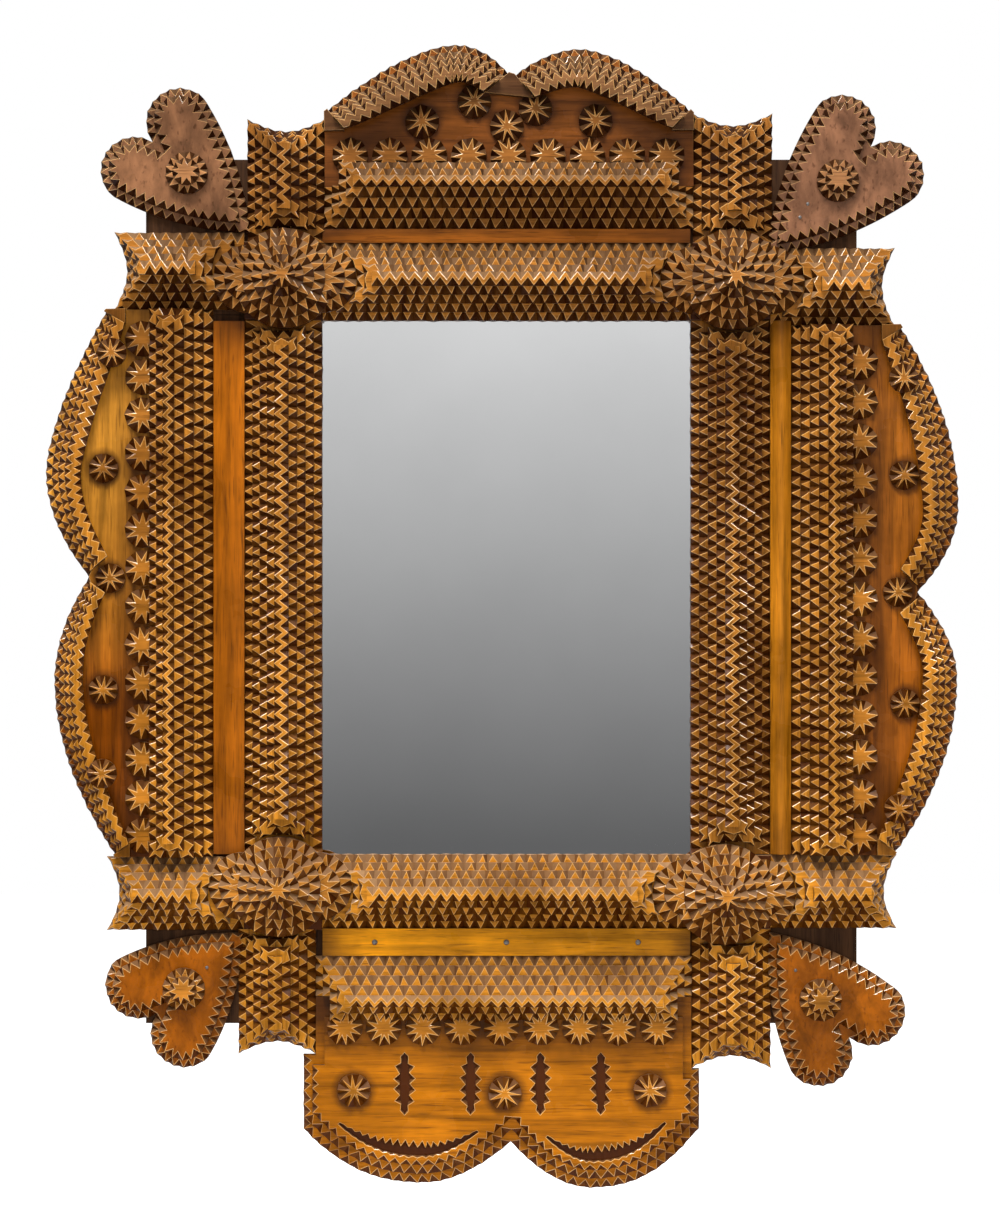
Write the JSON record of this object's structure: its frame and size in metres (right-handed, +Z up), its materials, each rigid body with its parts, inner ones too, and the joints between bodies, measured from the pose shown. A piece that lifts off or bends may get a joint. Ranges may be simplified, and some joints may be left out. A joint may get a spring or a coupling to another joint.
{
  "type": "wall mirror",
  "caption": "Wall mirror in a chip-carved, layered wood frame with scalloped panels, corner bosses and hearts, hung from a ring on its back.",
  "frame": {"origin": "middle of the back panel's rear face, which lies against the wall, behind the middle of the glass", "axes": "+Y into the wall, +Z up, +X to the right of someone looking at the glass"},
  "size_m": [0.4853, 0.0469, 0.6079],
  "materials": {
    "silvered_glass": "polished, silvered on the back",
    "packing_card": "raw grey-brown card",
    "raw_board": "sawn and dark with age",
    "carved_wood": "chip-carved, shellac with dark notches",
    "plain_wood": "smooth, amber shellac",
    "iron": "dull, lightly rusted wire"
  },
  "bodies": {
    "frame": {"mirror_glass": "silvered_glass", "glass_packing": "packing_card", "back_panel": "raw_board", "back_rail_top": "raw_board", "back_rail_bottom": "raw_board", "back_stile_left": "raw_board", "back_stile_right": "raw_board", "inner_moulding_left": "carved_wood", "inner_moulding_right": "carved_wood", "inner_moulding_top": "carved_wood", "inner_moulding_bottom": "carved_wood", "fillet_left": "plain_wood", "fillet_right": "plain_wood", "fillet_top": "plain_wood", "fillet_bottom": "plain_wood", "outer_moulding_left": "carved_wood", "outer_moulding_right": "carved_wood", "outer_moulding_top": "carved_wood", "outer_moulding_bottom": "carved_wood", "scalloped_panel_left": "plain_wood", "scalloped_panel_right": "plain_wood", "scalloped_panel_top": "plain_wood", "scalloped_panel_bottom": "plain_wood", "bottom_plaque": "plain_wood", "scalloped_rim_left_high": "carved_wood", "scalloped_rim_left_low": "carved_wood", "scalloped_rim_right_high": "carved_wood", "scalloped_rim_right_low": "carved_wood", "scalloped_rim_top_high": "carved_wood", "scalloped_rim_top_low": "carved_wood", "arm_top_left_upright": "carved_wood", "arm_top_left_level": "carved_wood", "arm_top_right_upright": "carved_wood", "arm_top_right_level": "carved_wood", "arm_bottom_left_upright": "carved_wood", "arm_bottom_left_level": "carved_wood", "arm_bottom_right_upright": "carved_wood", "arm_bottom_right_level": "carved_wood", "corner_boss_top_left": "carved_wood", "corner_boss_top_right": "carved_wood", "corner_boss_bottom_left": "carved_wood", "corner_boss_bottom_right": "carved_wood", "heart_top_left": "plain_wood", "heart_top_right": "plain_wood", "heart_bottom_left": "plain_wood", "heart_bottom_right": "plain_wood", "heart_rosette_top_left": "carved_wood", "heart_rosette_top_right": "carved_wood", "heart_rosette_bottom_left": "carved_wood", "heart_rosette_bottom_right": "carved_wood", "fillet_nail_1": "iron", "fillet_nail_2": "iron", "fillet_nail_3": "iron", "back_nail_1": "iron", "back_nail_2": "iron", "back_nail_3": "iron", "back_nail_4": "iron", "hanger_staple": "iron"},
    "hanger_ring": {"hanger_ring": "iron"}
  },
  "joints": [
    {"name": "ring_swing", "type": "hinge", "parent": "frame", "child": "hanger_ring", "pos_m": [0, -0.0039, 0.204], "axis": [1, 0, 0], "range_deg": [0, 180]}
  ]
}
